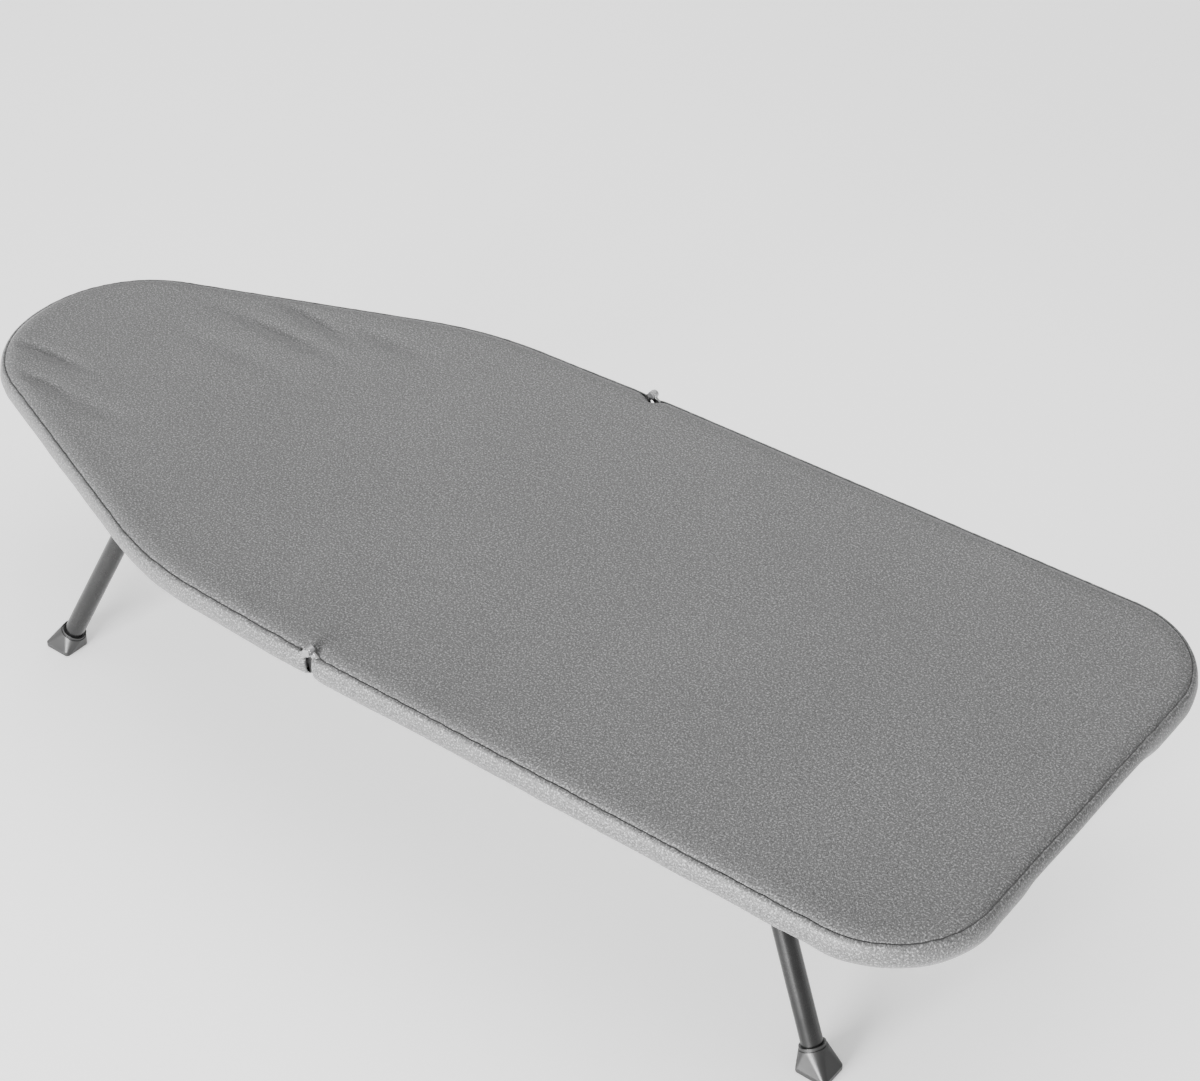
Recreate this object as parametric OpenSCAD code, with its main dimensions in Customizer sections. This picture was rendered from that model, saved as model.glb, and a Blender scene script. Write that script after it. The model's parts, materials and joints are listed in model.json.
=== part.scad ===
// Folding tabletop ironing board on two folding U-shaped legs.
// Millimetres, +Z up, origin on the table below the middle of the board.
// +X points to the square tail end, -X to the rounded nose; the halves fold face to face.

/* [Board outline] */
// Length of the tail half, from the fold to the square end
tail_len = 405; // [340:5:490]
// Length of the nose half, from the fold to the tip of the nose
nose_len = 390; // [325:5:465]
// Width of the board at the fold
board_w = 318; // [266:2:382]
// Height of the ironing surface above the table
stand_h = 170; // [142:1:205]
// Radius of the two tail corners
tail_corner_r = 60; // [50:1:90]
// Distance from the fold to the shoulders of the nose half
shoulder_x = 135; // [110:5:170]
// How far each shoulder has come in from the full width
shoulder_in = 4; // [3:1:12]
// Radius that rounds the shoulders
shoulder_r = 250; // [200:10:360]
// Width between the corners of the nose before they are rounded
nose_w = 114; // [90:2:124]
// Radius that rounds the nose
nose_r = 80; // [60:1:90]

/* [Cover and pad] */
// Thickness of the cover fabric
cover_t = 0.8; // [0.6:0.1:1.2]
// Thickness of the felt pad
pad_t = 5; // [3:0.5:8]
// Width of the cover's hem under the sides
hem_side_w = 16; // [13:1:24]
// Width of the cover's hem under the end of each half
hem_end_w = 5.5; // [4:0.5:7]
// Radius of the hem's inner edge at the tail corners
hem_corner_r = 105; // [80:5:120]

/* [Frame] */
// Thickness of the expanded metal sheet
mesh_t = 1.5; // [1:0.1:2]
// Pitch of the mesh openings along the board
mesh_pitch_x = 14; // [13:1:20]
// Pitch of the mesh openings across the board
mesh_pitch_y = 23; // [22:1:32]
// Width of the metal strands between two openings
strand_w = 2.2; // [1.8:0.1:2.6]
// Width of the rim and of the bar at the fold
rim_w = 10; // [8:1:12]
// Height of the rim, the bars and the rails
rim_h = 10; // [9:1:14]
// Wall of the rim, the bars and the rails
frame_wall = 1.2; // [1:0.1:1.5]
// Width of the two lengthwise rails
rail_w = 12; // [11:1:15]
// Distance between the centre lines of the rails
rail_spacing = 64; // [58:1:76]

/* [Fold hinges] */
// Thickness of each hinge plate
hinge_plate_t = 1.5; // [1.2:0.1:1.8]
// Radius of the hinge pins
hinge_pin_r = 1.5; // [1.2:0.1:1.8]
// Radius of the eyes round the hinge pins
hinge_eye_r = 2.9; // [2.7:0.1:3.5]
// Length of the plate part of each hinge along the board
hinge_plate_len = 11; // [9:1:13]

/* [Legs] */
// Diameter of the leg tube
leg_d = 13; // [11:0.5:15]
// Wall of the leg tube
leg_wall = 1.2; // [1:0.1:1.5]
// Radius of the bends of the legs on the tube's centre line
leg_bend_r = 50; // [40:1:60]
// Angle by which each side of a U-leg spreads sideways
leg_spread_deg = 10; // [8:1:13]
// Angle by which an opened leg leans out past upright
leg_lean_deg = 26; // [22:1:30]
// Distance between the feet of one leg
foot_spacing = 222; // [186:2:266]
// Distance from the fold to the pivot of the tail leg
tail_leg_x = 248; // [230:1:290]
// Distance from the fold to the pivot of the nose leg
nose_leg_x = 213; // [198:1:228]
// Length of a foot's sole along the board
foot_len = 21; // [19:1:26]
// Width of a foot's sole
foot_w = 19; // [18:1:23]
// Length of the cuff that holds the leg tube in a foot
foot_cuff_len = 2; // [1.5:0.5:4]
// Wall of the foot's cuff
foot_wall = 1.4; // [1.2:0.1:1.8]

/* [Leg brackets] */
// Length of a leg bracket along the board
bracket_len = 47; // [44:1:56]
// Distance between a bracket's rivets along the board
rivet_spacing = 34; // [32:1:38]
// Thickness of the brackets and clips
plate_t = 1.5; // [1.2:0.1:2]
// Radius of the rivets' heads
rivet_head_r = 4; // [3:0.1:4.5]
// Radius of the rivets' shanks
rivet_r = 2; // [1.5:0.1:2.2]

/* [Lock rod] */
// Diameter of the lock rod
rod_d = 6.4; // [5:0.1:8]
// Distance from the fold to the stowed rod's cross piece
rod_x = 125; // [112:1:128]
// Bend radius of the lock rod
rod_bend_r = 8; // [7:1:12]
// Outer diameter of the four rod sleeves
sleeve_d = 11; // [10:0.5:13]
// Length of each rod sleeve
sleeve_len = 45; // [38:1:54]
// Length of the clip that stops the stowed rod
rod_clip_len = 30; // [25:1:36]
// Width of the clip that stops the stowed rod
rod_clip_w = 30; // [25:1:36]

/* [Hanging hook] */
// Diameter of the hook's wire
hook_d = 4; // [3.4:0.1:4.6]
// Radius of the hook's round belly
hook_belly_r = 22.5; // [20:0.5:24]
// Length of the hook's straight shank
hook_shank = 30; // [26:1:32]
// Length of the straight run from the shank's bend to the belly
hook_run = 30; // [27:1:33]
// Length of the straight end inside the plastic tip
hook_end = 8; // [6:1:9]
// Length of the hook's swinging plate
hook_leaf_len = 18; // [16:1:19]
// Width of the hook's hinge
hook_leaf_w = 27; // [24:1:30]
// Thickness of the hook's hinge plates
hook_leaf_t = 1.2; // [1:0.1:1.4]
// Radius of the pin in the hook's hinge
hook_pin_r = 1.2; // [1:0.1:1.4]

/* [Closing loop] */
// Diameter of the elastic loop
loop_d = 2.4; // [1.8:0.1:2.8]
// Distance between the loop's two runs
loop_spacing = 11; // [10:0.5:12]
// Length of the loop's clip
loop_clip_len = 34; // [30:1:40]

/* [Fits] */
// Gap between the two halves at the fold
fold_gap = 0.6; // [0.4:0.1:1]
// Height of the hinge axis above the ironing surface
hinge_rise = 0.3; // [0.3:0.05:0.6]
// Radial clearance of turning and sliding fits
run_fit = 0.05; // [0.02:0.01:0.1]
// Radial clearance of the nose half's sleeves, which catch the lock rod as it comes across the fold
catch_fit = 0.6; // [0.3:0.05:0.9]
// Clearance beside moving plates
side_gap = 0.1; // [0.1:0.05:0.3]
// Clearance between the rails and a leg's cross tube
leg_gap = 0.3; // [0.2:0.1:0.5]

/* [Hidden] */
$fn = 48;
arc_step = 6;       // angle between the points of a rounded outline
fillet_share = 0.999;   // share of half a side that one rounded corner may take
cut = 1;            // how far a cutter runs past the face it opens
bend_lap = 0.2;     // how far a straight rod runs into its bend
bend_share = 0.975; // share of its radius that a rod keeps in its bends

fold_x = (nose_len - tail_len) / 2;

z_top = stand_h;
z_pad_top = z_top - cover_t;
z_mesh_top = z_pad_top - pad_t;
z_frame_top = z_mesh_top - mesh_t;
z_frame = z_frame_top - rim_h;
z_hem = z_frame - cover_t;

rail_y = rail_spacing / 2;
rim_in = cover_t + rim_w;
fold_face = fold_gap / 2;

hinge_z = z_top + hinge_rise;
hinge_eye_y = board_w / 2 - cover_t + side_gap;
hinge_notch_x = hinge_plate_len + 1.5;
hinge_notch_w = 3.5;
hinge_notch_len = 6.5;
hinge_plate_low = 3;
hinge_head_t = 1;

leg_r = leg_d / 2;
leg_z = z_frame - leg_r - leg_gap;
leg_turn = 90 - leg_spread_deg;
leg_reach = leg_z / cos(leg_lean_deg);
leg_floor = 5;
bend_drop = leg_bend_r * (1 - cos(leg_turn));
leg_cross = foot_spacing / 2 - leg_bend_r * sin(leg_turn) - (leg_reach - bend_drop) / tan(leg_turn);
leg_side = (leg_reach - leg_floor - bend_drop) / sin(leg_turn);
foot_flare = 9;
foot_lip = 0.5;
foot_corner_r = 2.5;
sole_t = 3;

bracket_w = rail_spacing + rail_w + 1;
bracket_bore_r = leg_r + run_fit;
rivet_inner_head_t = 1;
rivet_head_t = 1.6;
rivet_hollow_r = 1.1;

rod_r = rod_d / 2;
sleeve_z = z_frame - sleeve_d / 2;
rod_leg_end = 2.6;
rod_clip_gap = 1.8;
rod_clip_x = rod_x + rod_r + rod_clip_gap;
rod_clip_rivet_x = rod_clip_x + 18;
rod_clip_y = -rail_y + 3;
rod_clip_lip = 8;

hook_r = hook_d / 2;
hook_axis_x = tail_len - 15;
hook_axis_z = z_frame - 7.5;
hook_mid_y = -3;
hook_shank_y = -8;
hook_wire_z = hook_axis_z - hook_leaf_t / 2 - hook_r - 0.8;
hook_knuckle_r = hook_pin_r + 1.3;
hook_knuckle_w = 7;
hook_head_r = 2.6;
hook_head_t = 1.5;
hook_head_x = hook_axis_x - 6;
hook_flange_h = 7;
hook_foot_end = tail_len - hem_end_w - 0.5;
hook_tip_r = 2.7;
hook_tip_len = 10;
hook_bend_r = 8;
hook_out_deg = 42;
hook_belly_deg = 177;
hook_path = [[hook_shank, hook_bend_r, -hook_out_deg], [hook_run, hook_belly_r, hook_belly_deg]];

loop_r = loop_d / 2;
loop_z = z_frame - plate_t - 1.5;
loop_clip_x = tail_len - 96;
loop_block_len = 18;
loop_block_h = 3;
loop_block_w = loop_spacing + loop_d + 2.6;
loop_rivet_x = loop_clip_x + 24;
loop_end_x = tail_len - 4;

label_x = tail_len - 69;
label_len = 11;
label_t = 0.3;

// ---- outlines -------------------------------------------------------------

// Corners of each half, counter-clockwise, with the fold on the line x = 0
function corners(half) =
    let (w = board_w / 2, s = w - shoulder_in, n = nose_w / 2)
    half == "tail"
        ? [[0, -w], [tail_len, -w], [tail_len, w], [0, w]]
        : [[0, -w], [shoulder_x, -s], [nose_len, -n], [nose_len, n], [shoulder_x, s], [0, w]];

function corner_radii(half) =
    half == "tail"
        ? [0, tail_corner_r, tail_corner_r, 0]
        : [0, shoulder_r, nose_r, nose_r, shoulder_r, 0];

function cross2(a, b) = a.x * b.y - a.y * b.x;
function along(v, i) = let (a = v[i], b = v[(i + 1) % len(v)]) (b - a) / norm(b - a);
function inward(v, i) = let (u = along(v, i)) [-u.y, u.x];

// Corner i after each side i has moved inward by d[i]
function moved_corner(v, d, i) =
    let (
        h = (i + len(v) - 1) % len(v),
        p = v[i] + d[h] * inward(v, h),
        q = v[i] + d[i] * inward(v, i),
        a = along(v, h),
        b = along(v, i)
    )
    p + a * cross2(q - p, b) / cross2(a, b);

function moved(v, d) = [for (i = [0:len(v) - 1]) moved_corner(v, d, i)];

// Length of the shorter side beside corner i
function short_side(v, i) =
    let (n = len(v)) min(norm(v[i] - v[(i + n - 1) % n]), norm(v[(i + 1) % n] - v[i]));

// Points of the arc that rounds corner i to radius r, or to what its sides leave room for
function corner_arc(v, i, r) =
    let (
        u = along(v, (i + len(v) - 1) % len(v)),
        w = along(v, i),
        turn = atan2(cross2(u, w), u * w),
        fit = min(r, short_side(v, i) / 2 * fillet_share / tan(turn / 2)),
        start = v[i] - u * fit * tan(turn / 2),
        centre = start + fit * [-u.y, u.x],
        out = start - centre,
        n = ceil(turn / arc_step)
    )
    r <= 0 ? [v[i]]
           : [for (k = [0:n]) let (a = turn * k / n)
                 centre + [out.x * cos(a) - out.y * sin(a), out.x * sin(a) + out.y * cos(a)]];

function rounded(v, r) = [for (i = [0:len(v) - 1]) each corner_arc(v, i, r[i])];

// Outline of a half, moved inward by d all round and by f at the fold
function outline(half, d, f) =
    let (v = corners(half), n = len(v))
    rounded(moved(v, [for (i = [0:n - 1]) i == n - 1 ? f : d]), [for (r = corner_radii(half)) max(r - d, 0)]);

// Inner edge of the hem: wider under the sides than under the end
function hem_edge(half) =
    let (v = corners(half), n = len(v), mid = n / 2 - 1)
    rounded(moved(v, [for (i = [0:n - 1]) i == n - 1 ? -cut : i == mid ? hem_end_w : hem_side_w]),
            half == "tail" ? [0, hem_corner_r, hem_corner_r, 0]
                           : [for (r = corner_radii(half)) max(r - hem_side_w, 0)]);

// Distance from point p to the nearest side of outline v, positive inside
function depth_in(v, p) = min([for (i = [0:len(v) - 1]) (p - v[i]) * inward(v, i)]);

// ---- shared shapes --------------------------------------------------------

// Places a half's pieces: the nose half is drawn towards +X and mirrored
module on_half(half) {
    translate([fold_x, 0, 0]) mirror([half == "nose" ? 1 : 0, 0, 0]) children();
}

// Plate with the outline of a half
module half_plate(half, d, f, z, h) {
    translate([0, 0, z]) linear_extrude(h) polygon(outline(half, d, f));
}

// Box given by its lowest and highest corners
module span(low, high) {
    translate(low) cube(high - low);
}

// Rod along X that turns: each move is a straight length, a bend radius and a turn to the left
module bent_rod(r, moves, i = 0) {
    if (i < len(moves)) {
        turn = moves[i][2];
        side = turn < 0 ? 1 : 0;
        lap_in = i > 0 ? bend_lap : 0;
        lap_out = turn != 0 ? bend_lap : 0;
        translate([-lap_in, 0, 0]) rotate([0, 90, 0]) cylinder(r = r, h = moves[i][0] + lap_in + lap_out);
        if (turn != 0) translate([moves[i][0], 0, 0]) mirror([0, side, 0])
            translate([0, moves[i][1], 0]) rotate([0, 0, -90])
                rotate_extrude(angle = abs(turn)) translate([moves[i][1], 0]) circle(r * bend_share);
        after(moves[i]) bent_rod(r, moves, i + 1);
    }
}

// Frame at the end of one move, and at the end of all of them
module after(move) {
    turn = move[2];
    rise = move[1] * (1 - cos(turn)) * sign(turn);
    translate([move[0] + move[1] * sin(abs(turn)), rise, 0]) rotate([0, 0, turn]) children();
}

module at_end(moves, i = 0) {
    if (i < len(moves)) after(moves[i]) at_end(moves, i + 1) children();
    else children();
}

// Hollow rivet with its head down and its second head inside a rail
module rivet(x, y, stack) {
    grip = stack + frame_wall;
    translate([x, y, z_frame - stack]) difference() {
        union() {
            translate([0, 0, -rivet_head_t]) cylinder(r = rivet_head_r, h = rivet_head_t);
            cylinder(r = rivet_r, h = grip);
            translate([0, 0, grip]) cylinder(r = rivet_r + 1.2, h = rivet_inner_head_t);
        }
        translate([0, 0, -rivet_head_t - cut]) cylinder(r = rivet_hollow_r, h = rivet_head_t + grip);
    }
}

module rivet_hole(x, y) {
    translate([x, y, z_frame - 20]) cylinder(r = rivet_r, h = 20 + frame_wall + cut);
}

function bracket_x(half) = half == "tail" ? tail_leg_x : nose_leg_x;
function bracket_rivet_x(half) = [for (s = [-1, 1]) bracket_x(half) + s * rivet_spacing / 2];

// ---- pieces that both halves have -----------------------------------------

// Rim channel that follows the outline, open at the fold
module rim(half) {
    on_half(half) difference() {
        half_plate(half, cover_t, fold_face, z_frame, rim_h);
        half_plate(half, rim_in, -cut, z_frame - cut, rim_h + 2 * cut);
        difference() {
            half_plate(half, cover_t + frame_wall, -cut, z_frame + frame_wall, rim_h);
            half_plate(half, rim_in - frame_wall, -2 * cut, z_frame, rim_h + 2 * cut);
        }
    }
}

// Square tube across the fold end, between the sides of the rim
module fold_bar(half) {
    y = board_w / 2 - rim_in;
    on_half(half) difference() {
        intersection() {
            span([fold_face, -y, z_frame], [fold_face + rim_w, y, z_frame_top]);
            half_plate(half, rim_in, 0, z_frame - cut, rim_h + 2 * cut);
        }
        span([fold_face + frame_wall, -y - cut, z_frame + frame_wall],
             [fold_face + rim_w - frame_wall, y + cut, z_frame_top - frame_wall]);
    }
}

// Expanded metal sheet with staggered diamond openings
module mesh_sheet(half) {
    length = half == "tail" ? tail_len : nose_len;
    a = mesh_pitch_x / 2 - strand_w / 2;
    b = mesh_pitch_y / 2 - strand_w;
    edge = outline(half, cover_t, fold_face);
    rows = ceil(length / mesh_pitch_x);
    cols = ceil(board_w / mesh_pitch_y / 2) + 1;
    on_half(half) difference() {
        half_plate(half, cover_t, fold_face, z_frame_top, mesh_t);
        for (i = [0:2 * rows], j = [-cols:cols]) {
            p = [i * mesh_pitch_x / 2, (j + (i % 2) / 2) * mesh_pitch_y];
            if (depth_in(edge, p) > rim_w)
                translate([p.x, p.y, z_frame_top - cut]) linear_extrude(mesh_t + 2 * cut)
                    polygon([[a, 0], [0, b], [-a, 0], [0, -b]]);
        }
    }
}

// Square rail under the mesh, from the fold bar to the end of the rim
module rail(half, side, rivets) {
    length = half == "tail" ? tail_len : nose_len;
    y = side * rail_y;
    low = fold_face + rim_w;
    on_half(half) difference() {
        intersection() {
            difference() {
                span([low, y - rail_w / 2, z_frame], [length, y + rail_w / 2, z_frame_top]);
                span([low - cut, y - rail_w / 2 + frame_wall, z_frame + frame_wall],
                     [length + cut, y + rail_w / 2 - frame_wall, z_frame_top - frame_wall]);
            }
            half_plate(half, rim_in, 0, z_frame - cut, rim_h + 2 * cut);
        }
        for (x = rivets) translate([x, y, z_frame - cut]) cylinder(r = rivet_r, h = frame_wall + 2 * cut);
    }
}

// Pressed bracket: two flat wings and a round channel for the leg's cross tube
module leg_bracket(half) {
    x = bracket_x(half);
    r = bracket_bore_r + plate_t;
    on_half(half) difference() {
        union() {
            span([x - bracket_len / 2, -bracket_w / 2, z_frame - plate_t],
                 [x + bracket_len / 2, bracket_w / 2, z_frame]);
            span([x - r, -bracket_w / 2, leg_z], [x + r, bracket_w / 2, z_frame]);
            translate([x, bracket_w / 2, leg_z]) rotate([90, 0, 0]) cylinder(r = r, h = bracket_w);
        }
        span([x - bracket_bore_r, -bracket_w / 2 - cut, leg_z], [x + bracket_bore_r, bracket_w / 2 + cut, z_frame + cut]);
        translate([x, bracket_w / 2 + cut, leg_z]) rotate([90, 0, 0])
            cylinder(r = bracket_bore_r, h = bracket_w + 2 * cut);
        span([x - r - cut, -bracket_w / 2 - cut, z_frame], [x + r + cut, bracket_w / 2 + cut, z_frame + r]);
        for (rx = bracket_rivet_x(half), s = [-1, 1]) rivet_hole(rx, s * rail_y);
    }
}

module bracket_rivets(half) {
    on_half(half) for (x = bracket_rivet_x(half), s = [-1, 1]) rivet(x, s * rail_y, plate_t);
}

// Sleeve under a rail that the lock rod slides in, with a flat seat on top
module rod_sleeve(half, side) {
    r = sleeve_d / 2;
    on_half(half) translate([fold_face, side * rail_y, sleeve_z]) rotate([90, 0, 90]) difference() {
        linear_extrude(sleeve_len) {
            circle(r);
            translate([-r, 0]) square([2 * r, r]);
        }
        translate([0, 0, -cut])
            cylinder(r = rod_r + (half == "nose" ? catch_fit : run_fit), h = sleeve_len + 2 * cut);
    }
}

// Corner of a half cut away round the hinge's pin
module hinge_notches() {
    y = board_w / 2;
    for (s = [-1, 1]) span([-cut, s * y - hinge_notch_w, z_frame_top],
                           [hinge_notch_len, s * y + hinge_notch_w, z_top + cut]);
}

module pad(half) {
    on_half(half) difference() {
        half_plate(half, cover_t, fold_face, z_mesh_top, pad_t);
        hinge_notches();
    }
}

// Cover: the top panel and the side band, with openings for the hinges
module cover(half) {
    y = board_w / 2;
    on_half(half) difference() {
        half_plate(half, 0, fold_face, z_hem + cover_t, z_top - z_hem - cover_t);
        half_plate(half, cover_t, -cut, z_hem, z_pad_top - z_hem);
        hinge_notches();
        for (s = [-1, 1]) span([-cut, s * y - hinge_notch_w, z_hem - cut],
                               [hinge_notch_x, s * y + hinge_notch_w, z_pad_top]);
    }
}

// Hem of the cover, drawn in under the rim
module cover_hem(half) {
    on_half(half) translate([0, 0, z_hem]) linear_extrude(cover_t) difference() {
        polygon(outline(half, 0, hinge_notch_x));
        polygon(hem_edge(half));
    }
}

// Two side plates of the fold hinges; the inner ones lie on the rim, the outer ones are stepped
module hinge_plates(half) {
    outer = half == "nose" ? 1 : 0;
    foot_y = board_w / 2 - cover_t;
    eye_y = hinge_eye_y + outer * (hinge_plate_t + side_gap);
    eye_bore = hinge_pin_r + outer * run_fit;
    low = z_frame + hinge_plate_low;
    high = z_frame_top + 1;
    back = hinge_eye_r + 1.2;
    on_half(half) for (s = [0, 1]) mirror([0, s, 0]) difference() {
        union() {
            translate([0, eye_y + hinge_plate_t, hinge_z]) rotate([90, 0, 0]) {
                cylinder(r = hinge_eye_r, h = hinge_plate_t);
                linear_extrude(hinge_plate_t)
                    polygon([[-hinge_eye_r, 0], [hinge_eye_r, 0], [hinge_plate_len, high - hinge_z],
                             [hinge_plate_len, low - hinge_z], [back, low - hinge_z], [back, high - hinge_z]]);
            }
            span([back, foot_y, low], [hinge_plate_len, eye_y + hinge_plate_t, z_frame_top]);
        }
        translate([0, eye_y + hinge_plate_t + cut, hinge_z]) rotate([90, 0, 0])
            cylinder(r = eye_bore, h = hinge_plate_t + 2 * cut);
    }
}

// ---- legs -----------------------------------------------------------------

// Frame at the top of a leg's straight side, with +Z along the tube to the foot
module at_leg_side(half, side) {
    on_half(half) translate([bracket_x(half), 0, leg_z]) rotate([0, -leg_lean_deg, 0])
        mirror([0, side < 0 ? 1 : 0, 0])
            translate([0, leg_cross + leg_bend_r * sin(leg_turn), -bend_drop])
                rotate([-90 - leg_turn, 0, 0]) children();
}

// Course of a leg's tube at radius r, running past its two ends
module leg_course(half, r, past) {
    lap_y = leg_cross + bend_lap;
    on_half(half) translate([bracket_x(half), 0, leg_z]) rotate([0, -leg_lean_deg, 0]) {
        translate([0, lap_y, 0]) rotate([90, 0, 0]) cylinder(r = r, h = 2 * lap_y);
        for (s = [0, 1]) mirror([0, s, 0]) translate([0, leg_cross, -leg_bend_r]) rotate([0, -90, 0])
            rotate_extrude(angle = leg_turn) translate([leg_bend_r, 0]) circle(r * bend_share);
    }
    for (s = [-1, 1]) at_leg_side(half, s)
        translate([0, 0, -bend_lap]) cylinder(r = r, h = leg_side + bend_lap + past);
}

module leg_tube(half) {
    difference() {
        leg_course(half, leg_r, 0);
        leg_course(half, leg_r - leg_wall, cut);
    }
}

// Flared plastic foot with a flat sole on the table and a socket for the tube
module foot(half, side) {
    cuff_r = leg_r + run_fit + foot_wall;
    cuff_low = leg_side - foot_flare - foot_cuff_len;
    sole_x = bracket_x(half) + leg_reach * sin(leg_lean_deg);
    inset = foot_corner_r;
    difference() {
        union() {
            hull() {
                at_leg_side(half, side) translate([0, 0, leg_side - foot_flare]) cylinder(r = cuff_r + foot_lip, h = 1);
                on_half(half) translate([sole_x, side * foot_spacing / 2, 0])
                    for (a = [-1, 1], b = [-1, 1])
                        translate([a * (foot_len / 2 - inset), b * (foot_w / 2 - inset), 0])
                            cylinder(r = inset, h = sole_t, $fn = 32);
            }
            at_leg_side(half, side) translate([0, 0, cuff_low]) cylinder(r = cuff_r, h = foot_cuff_len + 1);
        }
        at_leg_side(half, side) translate([0, 0, cuff_low - cut])
            cylinder(r = leg_r + run_fit, h = leg_side - cuff_low + cut);
    }
}

// ---- pieces -----------------------------------------------------------------

module tail_rim() { color("#1c1c1e") rim("tail"); }
module nose_rim() { color("#1c1c1e") rim("nose"); }
module tail_fold_bar() { color("#1c1c1e") fold_bar("tail"); }
module nose_fold_bar() { color("#1c1c1e") fold_bar("nose"); }
module tail_mesh() { color("#222224") mesh_sheet("tail"); }
module nose_mesh() { color("#222224") mesh_sheet("nose"); }
module tail_rail_left() { color("#1c1c1e") rail("tail", -1, [each bracket_rivet_x("tail"), rod_clip_rivet_x]); }
module tail_rail_right() { color("#1c1c1e") rail("tail", 1, [each bracket_rivet_x("tail"), loop_rivet_x]); }
module nose_rail_left() { color("#1c1c1e") rail("nose", -1, bracket_rivet_x("nose")); }
module nose_rail_right() { color("#1c1c1e") rail("nose", 1, bracket_rivet_x("nose")); }
module tail_leg_bracket() { color("#18181a") leg_bracket("tail"); }
module nose_leg_bracket() { color("#18181a") leg_bracket("nose"); }
module tail_bracket_rivets() { color("silver") bracket_rivets("tail"); }
module nose_bracket_rivets() { color("silver") bracket_rivets("nose"); }
module tail_sleeve_left() { color("#1c1c1e") rod_sleeve("tail", -1); }
module tail_sleeve_right() { color("#1c1c1e") rod_sleeve("tail", 1); }
module nose_sleeve_left() { color("#1c1c1e") rod_sleeve("nose", -1); }
module nose_sleeve_right() { color("#1c1c1e") rod_sleeve("nose", 1); }
module tail_hinge_plates() { color("silver") hinge_plates("tail"); }
module nose_hinge_plates() { color("silver") hinge_plates("nose"); }
module tail_pad() { color("#e8e8e4") pad("tail"); }
module nose_pad() { color("#e8e8e4") pad("nose"); }
module tail_cover() { color("#7a7a7a") cover("tail"); }
module nose_cover() { color("#7a7a7a") cover("nose"); }
module tail_cover_hem() { color("#6c6c6c") cover_hem("tail"); }
module nose_cover_hem() { color("#6c6c6c") cover_hem("nose"); }
module tail_leg_tube() { color("#1a1a1c") leg_tube("tail"); }
module nose_leg_tube() { color("#1a1a1c") leg_tube("nose"); }
module tail_foot_left() { color("#2a2a2c") foot("tail", -1); }
module tail_foot_right() { color("#2a2a2c") foot("tail", 1); }
module nose_foot_left() { color("#2a2a2c") foot("nose", -1); }
module nose_foot_right() { color("#2a2a2c") foot("nose", 1); }

// Pins of the fold hinges, with a head at each end
module fold_hinge_pins() {
    head_y = hinge_eye_y - side_gap - hinge_head_t;
    grip = 2 * hinge_plate_t + 3 * side_gap;
    color("silver") on_half("tail") for (s = [0, 1]) mirror([0, s, 0])
        translate([0, head_y + hinge_head_t, hinge_z]) rotate([-90, 0, 0]) {
            translate([0, 0, -hinge_head_t]) cylinder(r = hinge_eye_r - 0.4, h = hinge_head_t);
            cylinder(r = hinge_pin_r, h = grip);
            translate([0, 0, grip]) cylinder(r = hinge_eye_r - 0.4, h = hinge_head_t);
        }
}

// U-shaped rod that locks the open board
module lock_rod() {
    cross = rail_spacing - 2 * rod_bend_r;
    leg = rod_x - rod_bend_r - rod_leg_end;
    color("#c8c8cc") on_half("tail") translate([rod_leg_end, -rail_y, sleeve_z])
        bent_rod(rod_r, [[leg, rod_bend_r, 90], [cross, rod_bend_r, 90], [leg, rod_bend_r, 0]]);
}

// Clip on the left rail whose lip stops the stowed rod
module rod_clip() {
    low_y = rod_clip_y - rod_clip_w / 2;
    color("#18181a") on_half("tail") difference() {
        union() {
            span([rod_clip_x, low_y, z_frame - plate_t], [rod_clip_x + rod_clip_len, low_y + rod_clip_w, z_frame]);
            span([rod_clip_x, -rail_y + rail_w / 2, z_frame - rod_clip_lip],
                 [rod_clip_x + plate_t, low_y + rod_clip_w, z_frame]);
        }
        rivet_hole(rod_clip_rivet_x, -rail_y);
    }
}

module rod_clip_rivet() {
    color("silver") on_half("tail") rivet(rod_clip_rivet_x, -rail_y, plate_t);
}

// Clip on the right rail that holds the two ends of the elastic loop
module loop_clip() {
    w = loop_block_w;
    x = loop_clip_x + loop_clip_len;
    color("#18181a") on_half("tail") difference() {
        union() {
            span([loop_clip_x, rail_y - w / 2 - 2, z_frame - plate_t], [x, rail_y + w / 2, z_frame]);
            span([x - loop_block_len, rail_y - w / 2, z_frame - plate_t - loop_block_h],
                 [x, rail_y + w / 2, z_frame - plate_t]);
        }
        for (s = [-1, 1]) translate([x - loop_block_len / 2, rail_y + s * loop_spacing / 2, loop_z])
            rotate([0, 90, 0]) cylinder(r = loop_r, h = loop_block_len);
        rivet_hole(loop_rivet_x, rail_y);
    }
}

module loop_clip_rivet() {
    color("silver") on_half("tail") rivet(loop_rivet_x, rail_y, plate_t + loop_block_h);
}

// Elastic loop that holds the folded board shut, lying under the tail end
module elastic_loop() {
    start = loop_clip_x + loop_clip_len - loop_block_len / 2;
    bend = loop_spacing / 2;
    run = loop_end_x - bend - start;
    color("#333333") on_half("tail") translate([start, rail_y - bend, loop_z])
        bent_rod(loop_r, [[run, bend, 180], [run, bend, 0]]);
}

// Blank label on the left rail
module rail_label() {
    color("white") on_half("tail")
        span([label_x, -rail_y - rail_w / 2, z_frame - label_t],
             [label_x + label_len, -rail_y + rail_w / 2, z_frame]);
}

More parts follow.
